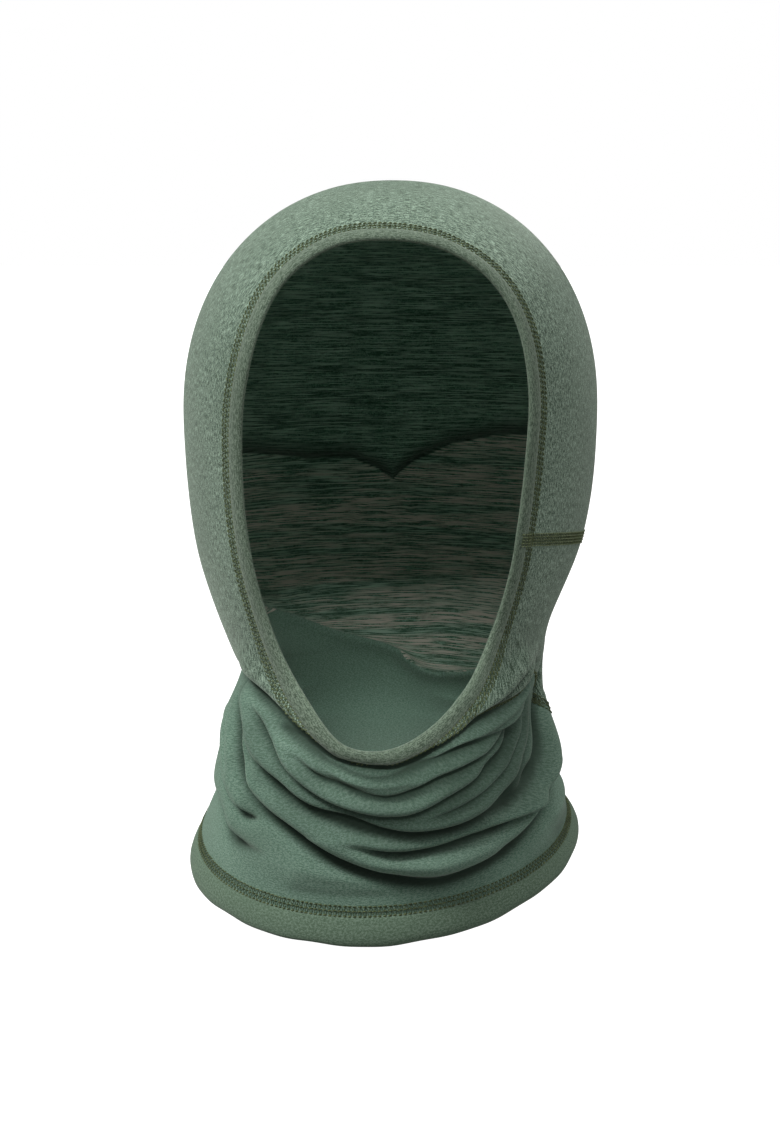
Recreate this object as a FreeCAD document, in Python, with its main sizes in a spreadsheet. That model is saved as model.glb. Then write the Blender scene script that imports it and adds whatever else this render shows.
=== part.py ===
"""Knitted balaclava: a hood with a short neck tube, in the shape it takes on an adult head.

Millimetres, +Z up.  The face looks along -Y and the wearer's left is +X.
The origin is the inside of the crown, where the head bears on the fabric.

The garment is one continuous knitted skin.  Its outside is a loft through ellipses: a rounded
crown, then named rings down the head and neck that tip forward towards the hem.  The same loft
moved in or out bounds the single fabric, the thicker folded edges and the raised stitching, and
each sewn piece is cut out of one of those skins along its own seam lines.
"""
import FreeCAD, Part
import os

doc = FreeCAD.newDocument("Balaclava")
sheet = doc.addObject("Spreadsheet::Sheet", "Sizes")

DRIVING_SIZES = {
    # fabric
    "fabric_thickness": 1.2,
    "fold_proud": 0.8,           # a folded edge stands this far out from the single fabric
    "thread_proud": 0.5,         # stitching stands this far out from the single fabric
    # crown: the dome above the widest ring
    "crown_power": 2.25,         # 2 is an ellipsoid, more is squarer
    "crown_shift": 4.5,          # the top lies this far behind the middle of the widest ring
    "crown_flat": 0.1,           # the flat spot at the top, as a part of the widest ring
    # face opening: an egg made of two half ellipses that meet at its widest line
    "opening_width": 114.0,
    "opening_widest_z": -97.0,
    "opening_top_z": -25.0,
    "opening_bottom_z": -221.0,
    "opening_back_y": -20.0,     # the opening is cut from the front back to here
    "binding_width": 6.5,
    # stitching
    "row_width": 0.6,
    "cover_row_pitch": 1.5,
    "cover_row_gap": 0.9,        # from a folded edge to its first row
    "seam_row_pitch": 2.0,
    "seam_half_width": 3.0,      # what a seam keeps clear of other stitching, each side
    # seams
    "cheek_seam_z": -147.0,
    "back_seam_y": 35.0,
    "neck_seam_z": -213.0,       # where its plane passes the head's upright axis
    "neck_seam_tilt": 13.5,
    "hem_band_width": 8.5,
}

# Each ring: full width, full depth, middle y, middle z, and how far its front tips down in degrees.
RINGS = {
    "widest": (169.0, 219.0, 7.5, -92.0, 0.0),
    "cheek": (159.0, 205.0, 2.5, -146.0, 0.0),
    "jaw": (136.0, 177.0, -9.5, -178.0, 2.0),
    "pinch": (122.0, 161.0, -17.5, -197.0, 7.0),
    "throat": (129.0, 150.0, -18.0, -217.4, 13.5),
    "collar": (143.0, 152.0, -14.0, -246.0, 17.0),
    "hem": (160.0, 178.0, -8.0, -272.0, 20.0),
    "spare": (170.0, 190.0, -6.0, -296.0, 22.0),    # past the hem, where every skin is trimmed
}
RING_QUANTITIES = ("width", "depth", "mid_y", "mid_z", "tilt")
CROWN_HEIGHTS = (0.97, 0.88, 0.74, 0.56, 0.32)   # rings up the dome, as parts of its full height
REACH = 400.0                                    # longer than the garment in any direction
ROWS = range(3)                                  # every line of stitching has three rows


def fill_sheet():
    """Write every driving size into the sheet under its own alias."""
    cells = dict(DRIVING_SIZES)
    for ring, sizes in RINGS.items():
        for quantity, value in zip(RING_QUANTITIES, sizes):
            cells[f"{ring}_{quantity}"] = value
    for row, (alias, value) in enumerate(cells.items(), start=1):
        sheet.set(f"A{row}", alias)
        sheet.set(f"B{row}", str(value))
        sheet.setAlias(f"B{row}", alias)
    doc.recompute()


def size(alias):
    """Read one driving size back from the sheet."""
    return float(sheet.get(alias))


def bind(item, **formulas):
    """Bind properties to formulas in which S. stands for the sheet."""
    for name, formula in formulas.items():
        item.setExpression(name, str(formula).replace("S.", "Sizes."))
    return item


def ellipse(name, half_width, half_depth, mid_y, mid_z, tilt="0"):
    """A closed ring with its long axis front to back, tipped down at the front by tilt."""
    ring = doc.addObject("Part::Ellipse", name)
    ring.MajorRadius = REACH
    return bind(
        ring, MinorRadius=half_width, MajorRadius=half_depth,
        Placement=f"placement(vector(0; {mid_y}; {mid_z}); rotation(-90; {tilt}; 0))")


def crown_ring(name, height, offset):
    """A ring at this part of the dome's height, moved by offset along the dome's surface."""
    spread = f"(1 - {height} ^ S.crown_power) ^ (1 / S.crown_power)"
    lean = f"sqrt(1 - ({spread}) ^ 2)"
    return ellipse(
        name,
        f"(S.widest_width / 2 + {offset}) * {spread}",
        f"(S.widest_depth / 2 + {offset}) * {spread}",
        f"S.widest_mid_y + S.crown_shift * {height}",
        f"S.widest_mid_z + (S.fabric_thickness - S.widest_mid_z) * {height} + {offset} * {lean}")


def named_ring(name, ring, offset):
    """One of the named rings, moved out by offset."""
    return ellipse(
        name,
        f"S.{ring}_width / 2 + {offset}", f"S.{ring}_depth / 2 + {offset}",
        f"S.{ring}_mid_y", f"S.{ring}_mid_z", f"S.{ring}_tilt")


def skin_loft(name, offset):
    """The solid inside the garment's outer surface when that is moved out by offset."""
    sections = [ellipse(
        name + "_top",
        "S.widest_width / 2 * S.crown_flat", "S.widest_depth / 2 * S.crown_flat",
        "S.widest_mid_y + S.crown_shift", f"S.fabric_thickness + {offset}")]
    for number, height in enumerate(CROWN_HEIGHTS, start=1):
        sections.append(crown_ring(f"{name}_crown_{number}", height, offset))
    for ring in RINGS:
        sections.append(named_ring(f"{name}_{ring}", ring, offset))
    loft = doc.addObject("Part::Loft", name)
    loft.Sections = sections
    loft.Solid = True
    loft.Ruled = False
    return loft


def boolean(kind, name, base, *tools):
    """Part::Cut or Part::Common of a base with each tool in turn; the last one takes the name."""
    for number, tool in enumerate(tools, start=1):
        step_name = name if number == len(tools) else f"{name}_step_{number}"
        result = doc.addObject("Part::" + kind, step_name)
        result.Base = base
        result.Tool = tool
        base = result
    return base


def cut(name, base, *tools):
    return boolean("Cut", name, base, *tools)


def common(name, base, *tools):
    return boolean("Common", name, base, *tools)


def separate_solids(name, shapes):
    """Several solids that don't touch, as one object."""
    group = doc.addObject("Part::Compound", name)
    group.Links = shapes
    return group


def egg_prism(name, grow):
    """The face opening's outline grown by grow, drawn from in front back to the opening's depth.

    No primitive has an egg for its outline, so its two half ellipses are joined here.
    """
    half_width = size("opening_width") / 2 + grow
    rise = size("opening_top_z") - size("opening_widest_z") + grow
    drop = size("opening_widest_z") - size("opening_bottom_z") + grow
    halves = []
    for height in (rise, -drop):
        half_circle = Part.makeCircle(1, FreeCAD.Vector(), FreeCAD.Vector(0, -1, 0), 0, 180)
        stretch = FreeCAD.Matrix()
        stretch.scale(half_width, 1, height)
        halves.append(half_circle.transformGeometry(stretch))
    length = REACH / 2 + size("opening_back_y")
    prism = doc.addObject("Part::Feature", name)
    prism.Shape = Part.Face(Part.Wire(halves)).extrude(FreeCAD.Vector(0, length, 0))
    prism.Placement.Base = FreeCAD.Vector(0, -REACH / 2, size("opening_widest_z"))
    return prism


def egg_ring(name, inner_grow, outer_grow):
    """What lies between two grown outlines of the face opening."""
    outer = egg_prism(name + "_outer", outer_grow)
    return cut(name, outer, egg_prism(name + "_inner", inner_grow))


def box(name, low, high):
    """A box between two corners, each given as three formulas."""
    block = doc.addObject("Part::Box", name)
    spans = [f"({top}) - ({bottom})" for bottom, top in zip(low, high)]
    return bind(
        block, Length=spans[0], Width=spans[1], Height=spans[2],
        Placement=f"placement(vector({low[0]}; {low[1]}; {low[2]}); rotation(0; 0; 0))")


def tilted_layer(name, middle, tilt, low, high):
    """All that lies from low to high above the plane through middle (y, z), tipped by tilt."""
    layer = doc.addObject("Part::Box", name)
    hinge = f"placement(vector(0; {middle[0]}; {middle[1]}); rotation(0; 0; {tilt}))"
    corner = f"placement(vector({-REACH / 2}; {-REACH / 2}; {low}); rotation(0; 0; 0))"
    return bind(layer, Length=REACH, Width=REACH, Height=f"({high}) - ({low})",
                Placement=f"{hinge} * {corner}")


def neck_layer(name, low, high):
    """A layer measured from the neck seam's plane."""
    return tilted_layer(name, ("0", "S.neck_seam_z"), "S.neck_seam_tilt", low, high)


def hem_layer(name, low, high):
    """A layer measured up from the hem's plane."""
    return tilted_layer(name, ("S.hem_mid_y", "S.hem_mid_z"), "S.hem_tilt", low, high)


def row_span(row, pitch):
    """The low and high side of one of three rows that straddle a seam line."""
    middle = f"{row - 1} * S.{pitch}"
    return f"{middle} - S.row_width / 2", f"{middle} + S.row_width / 2"


def cover_row_start(row):
    """How far the near side of this row of coverstitch lies from the folded edge's free side."""
    return f"S.cover_row_gap + {row} * S.cover_row_pitch"


class Skins:
    """The garment's surface at its different depths, each as the solid inside that surface."""

    def __init__(self):
        self.inside = skin_loft("inside", "-S.fabric_thickness")
        self.outside = skin_loft("outside", "0")
        self.folded_outside = skin_loft("folded_outside", "S.fold_proud")
        self.thread_outside = skin_loft("thread_outside", "S.thread_proud")

    def folded_edge(self, name, region):
        """The doubled fabric inside a region."""
        return cut(name, common(name + "_filled", region, self.folded_outside), self.inside)

    def stitch_row(self, name, region, *stops):
        """The raised thread inside a region, ended where the stops begin."""
        return cut(name, common(name + "_filled", region, self.thread_outside), self.outside, *stops)


def make_panels(skins):
    """The three cut pieces of fabric: round the face, the back of the head, and the neck."""
    back = box("back_region", (-REACH / 2, "S.back_seam_y", -REACH), (REACH / 2, REACH, REACH / 2))
    fabric = cut("fabric", skins.outside, skins.inside)
    below_neck_seam = neck_layer("neck_region", -REACH, "0")
    bound_edge = egg_prism("bound_edge_region", size("binding_width"))
    hem_region = hem_layer("hem_region", -REACH, "S.hem_band_width")
    above = cut("head_fabric", fabric, below_neck_seam)
    return [
        cut("front_hood_panel", above, bound_edge, back),
        common("back_head_panel", above, back),
        cut("neck_panel", common("neck_fabric", fabric, below_neck_seam), hem_region),
    ]


def make_folded_edges(skins):
    """The binding round the face and the turned-up band at the hem."""
    ring = egg_ring("binding_region", 0, size("binding_width"))
    band = hem_layer("hem_band_region", "0", "S.hem_band_width")
    return [skins.folded_edge("face_binding", ring), skins.folded_edge("hem_band", band)]


def make_face_coverstitch(skins):
    rows = []
    for row in ROWS:
        near = size("binding_width") + size("cover_row_gap") + row * size("cover_row_pitch")
        ring = egg_ring(f"face_row_region_{row}", near, near + size("row_width"))
        rows.append(skins.stitch_row(f"face_row_{row}", ring))
    return separate_solids("face_coverstitch", rows)


def make_hem_coverstitch(skins):
    rows = []
    for row in ROWS:
        start = f"S.hem_band_width + {cover_row_start(row)}"
        layer = hem_layer(f"hem_row_region_{row}", start, f"{start} + S.row_width")
        rows.append(skins.stitch_row(f"hem_row_{row}", layer))
    return separate_solids("hem_coverstitch", rows)


def make_cheek_seam(skins):
    """The level seam from the face coverstitch back to the seam round the back of the head."""
    last_row = size("binding_width") + size("cover_row_gap") + len(ROWS) * size("cover_row_pitch")
    keep_clear = egg_prism("cheek_seam_stop", last_row)
    rows = []
    for row in ROWS:
        low, high = row_span(row, "seam_row_pitch")
        strip = box(f"cheek_row_region_{row}",
                    ("0", -REACH / 2, f"S.cheek_seam_z + {low}"),
                    (REACH / 2, "S.back_seam_y - S.seam_half_width", f"S.cheek_seam_z + {high}"))
        rows.append(skins.stitch_row(f"cheek_row_{row}", strip, keep_clear))
    return separate_solids("cheek_seam_stitching", rows)


def make_back_seam(skins):
    """The seam over the top of the head that joins the back panel, down to the neck seam."""
    rows = []
    stop = neck_layer("back_seam_stop", -REACH, "S.seam_half_width")
    for row in ROWS:
        low, high = row_span(row, "seam_row_pitch")
        strip = box(f"back_row_region_{row}",
                    (-REACH / 2, f"S.back_seam_y + {low}", -REACH),
                    (REACH / 2, f"S.back_seam_y + {high}", REACH / 2))
        rows.append(skins.stitch_row(f"back_row_{row}", strip, stop))
    return separate_solids("back_seam_stitching", rows)


def make_neck_seam(skins):
    rows = []
    for row in ROWS:
        low, high = row_span(row, "seam_row_pitch")
        layer = neck_layer(f"neck_row_region_{row}", low, high)
        rows.append(skins.stitch_row(f"neck_row_{row}", layer))
    return separate_solids("neck_seam_stitching", rows)


def make_neck_closing_seam(skins):
    """The upright seam at the nape that closes the neck tube."""
    above = neck_layer("closing_seam_stop_above", "-S.seam_half_width", REACH)
    hem_clear = f"S.hem_band_width + {cover_row_start(len(ROWS))}"
    below = hem_layer("closing_seam_stop_below", -REACH, hem_clear)
    rows = []
    for row in ROWS:
        low, high = row_span(row, "seam_row_pitch")
        strip = box(f"closing_row_region_{row}", (low, "0", -REACH), (high, REACH / 2, "0"))
        rows.append(skins.stitch_row(f"closing_row_{row}", strip, above, below))
    return separate_solids("neck_closing_stitching", rows)


def check_document(subparts):
    """Stop if any object failed, or if a sub-part isn't made of sound solids."""
    for item in doc.Objects:
        if "Invalid" in item.State or "Error" in item.State:
            raise RuntimeError(f"{item.Name} failed: {item.State}")
    for item in subparts:
        shape = item.Shape
        if shape.isNull() or not shape.isValid() or not shape.Solids:
            raise RuntimeError(f"{item.Name} has no sound solid")
        print(f"{item.Label}: {len(shape.Solids)} solids, {shape.Volume:.0f} mm3")


def main():
    fill_sheet()
    skins = Skins()
    subparts = make_panels(skins) + make_folded_edges(skins) + [
        make_face_coverstitch(skins),
        make_hem_coverstitch(skins),
        make_cheek_seam(skins),
        make_back_seam(skins),
        make_neck_seam(skins),
        make_neck_closing_seam(skins),
    ]
    for item in subparts:
        item.Label = item.Name
    doc.recompute()
    check_document(subparts)
    os.makedirs("parts", exist_ok=True)
    for item in subparts:
        item.Shape.exportStep(f"parts/{item.Label}.step")


main()
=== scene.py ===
import math

import bpy
import numpy as np
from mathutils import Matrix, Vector


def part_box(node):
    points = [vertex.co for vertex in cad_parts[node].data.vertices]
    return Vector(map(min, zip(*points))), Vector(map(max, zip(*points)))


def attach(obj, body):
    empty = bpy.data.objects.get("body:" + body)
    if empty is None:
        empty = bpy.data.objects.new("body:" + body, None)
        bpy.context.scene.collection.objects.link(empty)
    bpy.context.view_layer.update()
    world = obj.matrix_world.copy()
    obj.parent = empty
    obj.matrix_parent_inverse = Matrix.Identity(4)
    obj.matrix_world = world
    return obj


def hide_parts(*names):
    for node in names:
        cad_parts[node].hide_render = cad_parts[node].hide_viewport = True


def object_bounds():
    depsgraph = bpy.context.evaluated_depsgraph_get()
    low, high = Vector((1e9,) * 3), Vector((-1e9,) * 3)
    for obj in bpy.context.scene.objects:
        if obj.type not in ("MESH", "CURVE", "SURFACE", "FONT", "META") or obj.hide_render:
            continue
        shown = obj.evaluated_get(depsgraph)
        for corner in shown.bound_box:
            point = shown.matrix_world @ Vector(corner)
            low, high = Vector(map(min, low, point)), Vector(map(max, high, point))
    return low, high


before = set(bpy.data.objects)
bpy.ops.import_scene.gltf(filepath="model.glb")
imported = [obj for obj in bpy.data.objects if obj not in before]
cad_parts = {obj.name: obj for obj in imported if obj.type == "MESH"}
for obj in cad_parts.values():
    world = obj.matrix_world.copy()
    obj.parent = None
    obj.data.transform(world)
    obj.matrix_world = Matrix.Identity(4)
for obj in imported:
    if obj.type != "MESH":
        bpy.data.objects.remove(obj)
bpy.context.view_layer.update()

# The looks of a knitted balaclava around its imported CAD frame.
#
# Shapes are worked out in millimetres in the CAD frame and turned into metres when a mesh is
# made.  The garment is one surface.  A point on it has an angle round the head (0 at the face,
# +90 degrees at the wearer's left ear, 180 at the back) and a run, the length down its side from
# the top of the crown.  Folds are a relief on that surface, drawn as crease lines.

MM = 0.001

# -------- sizes, in millimetres
CROWN_POWER = 2.15            # 2 is an ellipsoid, more is squarer
CROWN_SHIFT = 4.5             # the top lies this far behind the middle of the widest ring
CROWN_LEAN = 0.8              # and this far to the wearer's left
HOOD_LOW, HOOD_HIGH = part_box("front_hood_panel")
CROWN_TOP = 1000 * HOOD_HIGH[2] - 1.2
WIDEST = dict(z=-92.0, half_width=500 * (HOOD_HIGH[0] - HOOD_LOW[0]), half_depth=109.5, mid_y=7.5)

# Rings below the widest one: z, half width, half depth, middle x and y, and in degrees how far
# the front tips down and how far the wearer's right side tips down.
LOWER_RINGS = (
    (-122.0, 82.8, 108.0, 0.0, 6.5, 0.0, 0.0),
    (-147.0, 78.6, 102.5, -0.6, 2.5, 0.0, 0.0),
    (-164.0, 72.6, 95.5, -1.5, -3.0, 0.0, 0.0),
    (-180.0, 65.6, 87.0, -1.6, -10.5, 2.5, 0.0),
    (-195.0, 60.8, 80.5, 1.2, -16.5, 6.0, 0.0),
    (-207.0, 60.2, 77.0, -1.4, -18.0, 9.5, 0.0),
    (-222.0, 63.6, 74.0, -3.0, -17.5, 13.5, 0.2),
    (-240.0, 65.8, 74.5, -2.2, -14.5, 16.0, 1.0),
    (-255.0, 72.6, 79.5, -2.0, -11.0, 18.0, 2.4),
    (-270.0, 79.2, 86.5, -2.0, -8.0, 20.0, 3.8),
)
NAPE_SAG = 0.5                # how far the back hangs lower, for each degree of tilt
FABRIC = 1.0                  # thickness of the single fabric
BACK_SEAM_Y = 35.0
HEM_BAND = 8.5                # the turned-up band's depth
CHEEK_SEAM_Z = -144.8
CHEEK_RISE = 3.2              # and it lies this much higher at the face opening
PROFILE_STEP = 0.5            # between the rows of the table of rings

# The face opening's edge seen from the front: x and z, clockwise from the top.
RIM = ((0, -23.5), (22, -27), (41, -39), (52.5, -58), (57, -84), (55.5, -112), (52.5, -137),
       (49.5, -155), (43, -176), (33, -196.5), (19, -212), (2, -221), (-15, -219), (-29, -203.5),
       (-41.5, -184), (-50.5, -160), (-55.5, -134), (-57, -106), (-55.5, -83), (-49.5, -58),
       (-39, -39), (-21, -26.5))


# -------- curves
def unit(vectors):
    return vectors / np.maximum(np.linalg.norm(vectors, axis=-1, keepdims=True), 1e-9)


def ease(part):
    """From 0 to 1 with a soft start and end."""
    return part * part * (3 - 2 * part)


def lengths_along(points):
    """The length of a line up to each of its points."""
    return np.concatenate([[0], np.cumsum(np.linalg.norm(np.diff(points, axis=0), axis=1))])


def read_along(places, known, values):
    """Each column of values, known at the places in known, read at other places."""
    return np.stack([np.interp(places, known, column) for column in values.T], -1)


def nearest(spots, path):
    """For each spot, which point of a path is nearest, and the square of how far that is."""
    which, best = np.zeros(len(spots), int), np.full(len(spots), 1e9)
    for index, place in enumerate(path):
        far = (spots[:, 0] - place[0]) ** 2 + (spots[:, 1] - place[1]) ** 2
        closer = far < best
        best[closer] = far[closer]
        which[closer] = index
    return which, best


def smooth_line(points, step, closed=False):
    """A Catmull-Rom curve through points, read off at equal steps along its length."""
    points = np.asarray(points, float)
    if closed:
        padded = np.vstack([points[-1:], points, points[:2]])
    else:
        padded = np.vstack([2 * points[0] - points[1], points, 2 * points[-1] - points[-2]])
    part = np.linspace(0, 1, 24, endpoint=False)[:, None]
    fine = []
    for a, b, c, d in zip(padded, padded[1:], padded[2:], padded[3:]):
        fine.append(0.5 * (2 * b + (c - a) * part + (2 * a - 5 * b + 4 * c - d) * part ** 2
                           + (3 * b - a - 3 * c + d) * part ** 3))
    fine.append(points[:1] if closed else points[-1:])
    fine = np.vstack(fine)
    run = lengths_along(fine)
    count = max(3, int(round(run[-1] / step)))
    places = np.linspace(0, run[-1], count + 1)
    return read_along(places[:-1] if closed else places, run, fine)


def blur(values, width):
    """A bell-shaped running average along the first axis; width is in samples."""
    reach = int(3 * width)
    kernel = np.exp(-0.5 * (np.arange(-reach, reach + 1) / width) ** 2)
    kernel /= kernel.sum()
    padded = np.concatenate([np.repeat(values[:1], reach, 0), values,
                             np.repeat(values[-1:], reach, 0)])
    return np.stack([np.convolve(padded[:, axis], kernel, "valid")
                     for axis in range(values.shape[1])], 1)


# -------- the garment's surface
CROWN_STEPS = 240
SOFT_WIDTH = 10               # rows over which the table is softened
SOFT_FROM, SOFT_OVER, SOFT_HEM = 25, 20, 12   # but not at the crown's top or the hem


def side_profile():
    """The runs down the garment's side, and the ring's sizes at each."""
    turn = np.linspace(0, math.pi / 2, CROWN_STEPS)[:, None]
    spread = np.sin(turn) ** (2 / CROWN_POWER)
    height = np.cos(turn) ** (2 / CROWN_POWER)
    crown = np.hstack([
        WIDEST["z"] + (CROWN_TOP - WIDEST["z"]) * height,
        WIDEST["half_width"] * spread, WIDEST["half_depth"] * spread, CROWN_LEAN * height,
        WIDEST["mid_y"] + CROWN_SHIFT * height, 0 * turn, 0 * turn])
    knots = np.vstack([crown[-CROWN_STEPS // 10], crown[-1], LOWER_RINGS])
    below = smooth_line(knots, PROFILE_STEP)
    below = below[below[:, 0] < WIDEST["z"]]
    rings = np.vstack([crown, below])
    radius = (rings[:, 1] + rings[:, 2]) / 2
    run = np.concatenate([[0], np.cumsum(np.hypot(np.diff(rings[:, 0]), np.diff(radius)))])
    places = np.arange(0, run[-1], PROFILE_STEP)
    table = read_along(places, run, rings)
    part = (np.clip((places - SOFT_FROM) / SOFT_OVER, 0, 1)
            * np.clip((places[-1] - places) / SOFT_HEM, 0, 1))
    return places, table * (1 - part[:, None]) + blur(table, SOFT_WIDTH) * part[:, None]


RUN, RINGS = side_profile()
HEM_RUN = RUN[-1]
# The surface goes straight on for a few millimetres, because the hem's edge waves about its line.
PAST_HEM = np.arange(1, 9)
RINGS = np.vstack([RINGS, RINGS[-1] + PAST_HEM[:, None] * (RINGS[-1] - RINGS[-2])])
RUN = np.append(RUN, HEM_RUN + PAST_HEM * (RUN[-1] - RUN[-2]))


def base_point(angle, run):
    """The smooth surface without its folds."""
    z, half_width, half_depth, mid_x, mid_y, tilt, roll = (
        np.interp(run, RUN, RINGS[:, column]) for column in range(7))
    across = half_width * np.sin(angle)
    along = -half_depth * np.cos(angle)
    sag = NAPE_SAG * tilt * np.maximum(-np.cos(angle), 0) ** 2
    tilt, roll = np.radians(tilt), np.radians(roll)
    return np.stack([mid_x + across, mid_y + along * np.cos(tilt),
                     z + along * np.sin(tilt) + across * np.tan(roll) - sag], -1)


def normal_of(place, angle, run, turn, step):
    """The outward normal of place, a surface, from points a turn and a step to either side."""
    around = place(angle + turn, run) - place(angle - turn, run)
    down = place(angle, run + step) - place(angle, run - step)
    return unit(np.cross(down, around))


def front_place(x, z):
    """The angle and run of points on the front half, from where they are seen from the front."""
    x, z = np.asarray(x, float), np.asarray(z, float)
    level = z
    for _ in range(30):
        run = np.interp(-level, -RINGS[:, 0], RUN)
        half_width, half_depth, mid_x, tilt, roll = (
            np.interp(run, RUN, RINGS[:, column]) for column in (1, 2, 3, 5, 6))
        across = np.clip((x - mid_x) / half_width, -0.999, 0.999)
        angle = np.arcsin(across)
        tipped = z + half_depth * np.cos(angle) * np.sin(np.radians(tilt))
        level = tipped - across * half_width * np.tan(np.radians(roll))
    return angle, run


# -------- folds
# A crease: its points (angle in degrees, z in mm of the smooth surface, and its share of the full
# depth where that isn't 1), how deep it sinks, how far the fabric above it swells out and over it,
# how far the fabric below swells, the widths of the crease and of the swelling, which parts of its
# length fade out, and the width of the crease on its lower side.
def crease(points, depth, lip=0.0, foot=0.0, tight=2.0, wide=6.0, ends=(0.2, 0.2), fall=None):
    return dict(points=points, depth=depth, lip=lip, foot=foot, tight=tight, wide=wide, ends=ends,
                fall=fall or tight)


# The lower border of the hood from one side of the neck round the chin to the other.
CHIN_LINE = ((-76, -198), (-62, -198), (-50, -204.5), (-32, -218), (-14, -229.5), (5, -233),
             (22, -225.5), (39, -213.5), (55, -204), (70, -195))

# Where the hood sags over the nape, behind the head.
NAPE_FOLD = ((-118, -112), (-130, -115), (-152, -119), (-166, -119), (-174, -124), (-179, -129),
             (175, -121), (163, -113), (149, -109), (135, -107), (122, -110))

FOLDS = (
    crease([(-127, -181, 0.2), (-112, -187, 0.3), (-96, -194, 0.35), (-86, -197, 0.4),
            (-76, -198, 0.55), (-62, -198, 0.8), (-50, -204.5, 0.9),
            (-32, -218, 0.95), (-14, -229.5), (5, -233), (22, -225.5), (39, -213.5, 0.9),
            (55, -204, 0.8), (70, -195, 0.6), (84, -193, 0.3)],
           10.0, lip=3.2, tight=4.2, fall=2.2, wide=4.5, ends=(0.06, 0.06)),
    # the small folds close under it
    crease([(-50, -209), (-34, -220), (-16, -232), (2, -237), (20, -231), (36, -223), (52, -214),
            (66, -203), (76, -193)], 6.2, lip=2.4, tight=1.7, wide=3.6, ends=(0.15, 0.1)),
    crease([(-40, -219), (-31, -227), (-17, -237), (4, -243), (22, -236), (36, -229), (48, -220),
            (62, -208), (74, -198)], 7.6, lip=3.2, tight=1.8, wide=4, ends=(0.2, 0.1)),
    crease([(-24, -230), (-10, -238), (4, -240), (16, -237)], 3.2, lip=1.4, tight=1.2, wide=2.6),
    crease([(-58, -204), (-50, -212), (-42, -221), (-31, -234), (-12, -246), (8, -249),
            (24, -242), (38, -234), (50, -224), (60, -211), (68, -199)],
           6.6, lip=3.0, tight=1.7, wide=4, ends=(0.1, 0.2)),
    crease([(10, -252), (24, -247), (38, -240), (50, -231), (60, -219), (68, -205)],
           4.6, lip=2.2, tight=1.5, wide=3.6),
    crease([(30, -213), (44, -206), (56, -197), (66, -190)], 2.6, lip=1.6, tight=1.4, wide=3.4),
    crease([(20, -231), (38, -220), (52, -210), (65, -201), (76, -194)], 3.6, lip=1.8, tight=1.4,
           wide=3),
    crease([(34, -234), (47, -225), (58, -214), (67, -204), (76, -195)], 3.6, lip=1.8, tight=1.4,
           wide=3),
    # the long swags from the pinch on the wearer's right
    crease([(-74, -194), (-62, -208), (-52, -224), (-40, -235), (-25, -246), (-8, -252),
            (10, -256), (26, -254), (40, -248), (53, -239), (63, -228), (71, -214), (77, -201)],
           8.6, lip=4.4, foot=1.6, tight=2.4, wide=6, ends=(0.1, 0.12)),
    crease([(-14, -258), (4, -263), (18, -262), (32, -258), (45, -254), (58, -249), (70, -243)],
           6.6, lip=3.4, foot=1.2, tight=2.0, wide=4.8),
    crease([(-78, -200), (-66, -214), (-56, -230), (-45, -246), (-31, -256), (-14, -267),
            (4, -273.5), (18, -275), (32, -271), (46, -264), (61, -254), (72, -247)],
           8.0, lip=4.8, foot=1.6, tight=2.4, wide=6.5, ends=(0.08, 0.08)),
    crease([(-92, -210), (-76, -225), (-64, -240), (-53, -250), (-42, -254)], 4.6, lip=3.4,
           tight=1.8, wide=6),
    crease([(-70, -204), (-58, -220), (-48, -233), (-36, -243)], 2.4, lip=1.4, tight=1.3, wide=3.4),
    crease([(-82, -204), (-70, -220), (-60, -236)], 2.2, lip=1.4, tight=1.4, wide=4),
    # the dimple low on the left, the soft crease low in front
    crease([(-124, -232, 0.4), (-106, -238, 0.6), (-90, -243, 0.7), (-77, -247), (-67, -253),
            (-59, -261, 1.1), (-48, -265, 0.7), (-34, -268, 0.3)],
           5.4, lip=4.2, tight=2.0, wide=6, ends=(0.15, 0.35)),
    crease([(-34, -279), (-12, -281), (8, -281)], 2.0, lip=1.4, tight=3, wide=7),
    crease([(12, -279), (30, -277), (46, -271)], 1.6, lip=1.2, tight=2.4, wide=5),
    # the rolls on the wearer's left side of the neck
    crease([(90, -190), (87, -203), (81, -216), (74, -227), (64, -237), (52, -245), (38, -251)],
           9.5, foot=3.0, tight=4.0, fall=1.8, wide=5, ends=(0.2, 0.2)),
    crease([(128, -205), (110, -214), (97, -224), (85, -233), (73, -240), (60, -246)],
           6.4, lip=3.6, foot=1.4, tight=2.4, wide=6),
    crease([(140, -226), (118, -231), (100, -235), (86, -239), (72, -246), (60, -254), (50, -260)],
           7.0, lip=4.8, foot=1.4, tight=2.2, wide=6.5, ends=(0.2, 0.1)),
    crease([(116, -249), (98, -254), (82, -259), (66, -264)], 3.0, lip=2.2, tight=2.0, wide=6),
    # behind the head
    crease(NAPE_FOLD, 2.8, lip=2.2, tight=2.6, wide=11, fall=15, ends=(0.2, 0.2)),
    crease([(-114, -171), (-127, -180), (-150, -190), (180, -198), (165, -206), (150, -206),
            (130, -202), (112, -198)], 4.4, lip=3.0, tight=2.0, wide=8, ends=(0.2, 0.2)),
    crease([(-84, -224), (-108, -221), (-134, -214, 0.6), (-156, -209, 0.15)],
           3.2, lip=2.6, tight=2.4, wide=7),
    crease([(-100, -233), (-120, -229), (-144, -224, 0.4), (-168, -222, 0.1), (168, -224, 0.1),
            (146, -230, 0.5), (128, -234)], 2.6, lip=2.4, tight=4.0, wide=8),
    crease([(166, -214, 0.1), (150, -217, 0.6), (134, -215), (116, -209)], 2.8, lip=2.2, tight=2.4,
           wide=6),
)

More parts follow.
